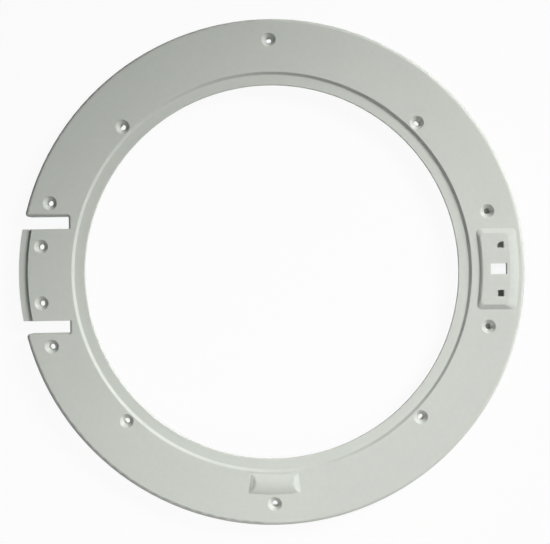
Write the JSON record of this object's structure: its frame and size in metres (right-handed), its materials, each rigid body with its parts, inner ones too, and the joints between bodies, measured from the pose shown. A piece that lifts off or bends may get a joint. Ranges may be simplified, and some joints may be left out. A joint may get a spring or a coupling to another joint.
{
  "type": "door trim ring",
  "caption": "Round moulded plastic door trim ring with a stepped glass ledge, countersunk screw holes, slotted hinge tab, raised latch pad and guide bump.",
  "frame": {"origin": "centre of the ring, in the plane of the back rim", "axes": "+Z out of the screwed face, along the ring's axis; +X towards the latch pad, -X towards the hinge tab; -Y towards the guide bump"},
  "size_m": [0.3908, 0.3908, 0.0162],
  "materials": {
    "moulding": "light grey satin moulding, fine even grain"
  },
  "bodies": {
    "root": {"trim_ring": "moulding"}
  },
  "joints": []
}
